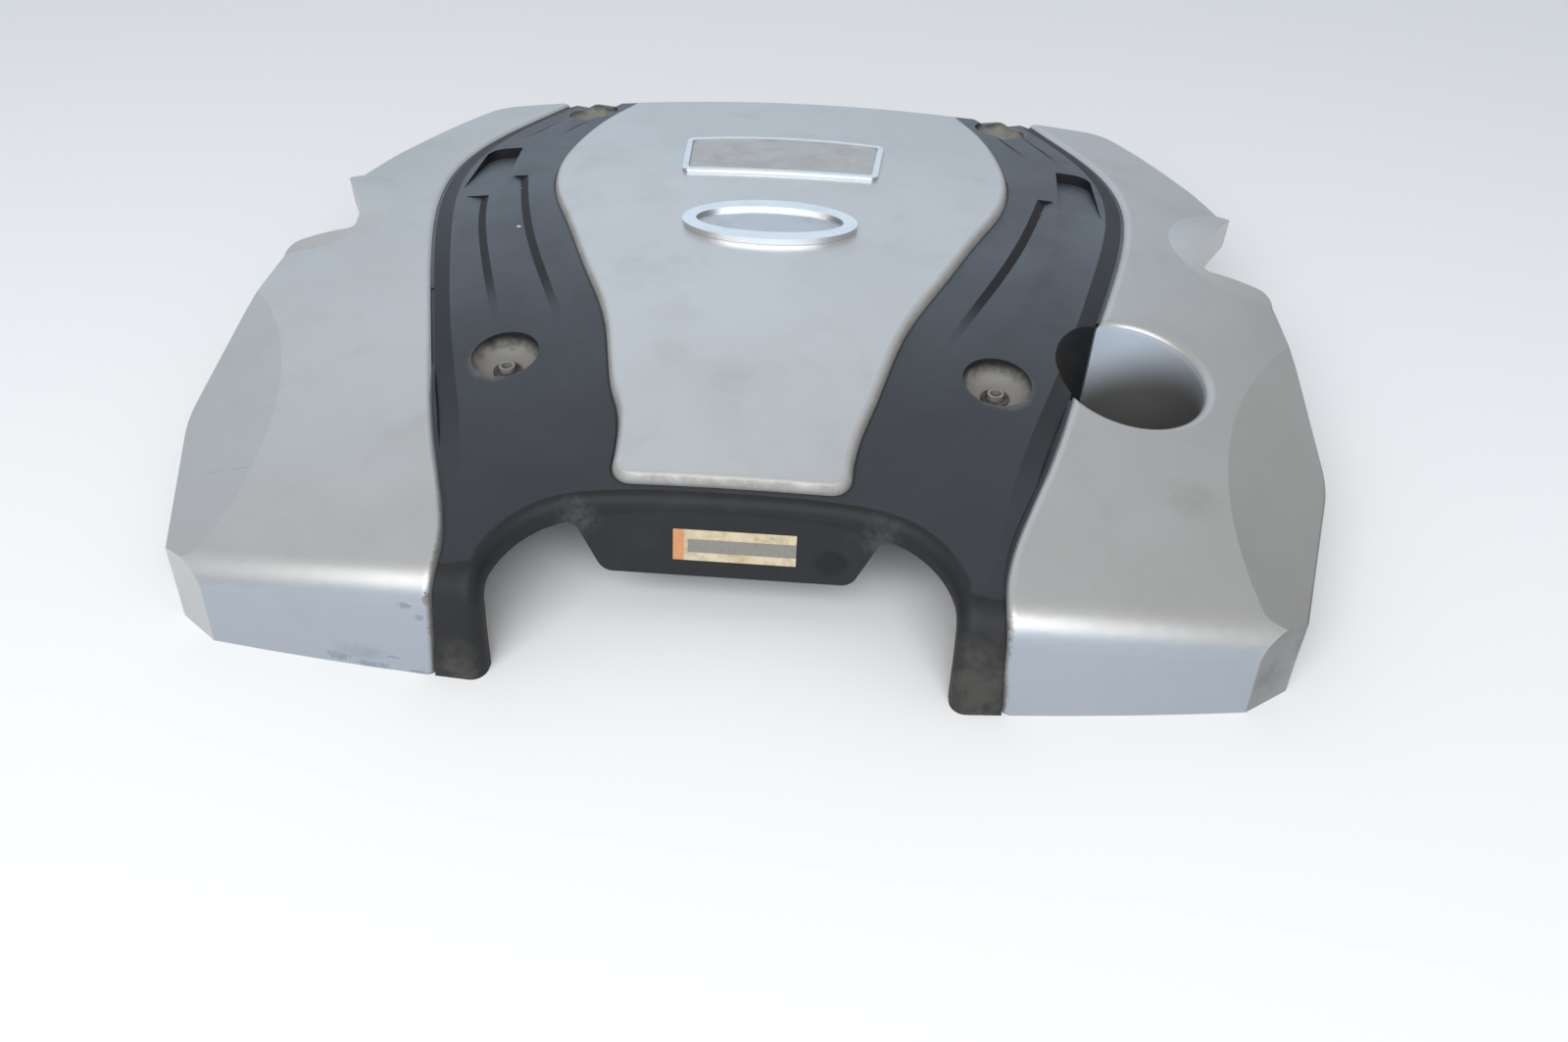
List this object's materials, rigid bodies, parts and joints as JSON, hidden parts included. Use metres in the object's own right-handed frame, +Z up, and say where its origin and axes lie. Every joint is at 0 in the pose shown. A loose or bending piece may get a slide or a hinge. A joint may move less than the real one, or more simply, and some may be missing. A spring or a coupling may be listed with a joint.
{
  "type": "engine cover",
  "caption": "Moulded engine cover: black base with pleated strips and an arched front, silver side panels with a filler well and notched edges, and a raised centre panel with a badge plate.",
  "frame": {"origin": "under the middle of the cover, on the surface that the legs and the mounting columns stand on", "axes": "+Z up, -Y towards the front with the two legs and the arch, +X towards the side with the filler well"},
  "size_m": [0.648, 0.5596, 0.11],
  "materials": {
    "base": "satin black moulding, dusty",
    "panel": "silver paint, worn at the edges",
    "bright": "bright plated",
    "bright_satin": "satin plated",
    "badge_face": "pale matte",
    "label": "printed paper, blank",
    "steel": "zinc plated",
    "grommet": "dusty"
  },
  "bodies": {
    "root": {"base_cover": "base", "side_panel_right": "panel", "side_panel_left": "panel", "centre_panel": "panel", "badge_frame": "bright", "badge_face": "badge_face", "plaque_rim": "bright", "plaque_face": "bright_satin", "part_label": "label", "mount_sleeve_front_right": "steel", "mount_grommet_front_right": "grommet", "mount_sleeve_front_left": "steel", "mount_grommet_front_left": "grommet", "mount_sleeve_rear_right": "steel", "mount_grommet_rear_right": "grommet", "mount_sleeve_rear_left": "steel", "mount_grommet_rear_left": "grommet"}
  },
  "joints": []
}
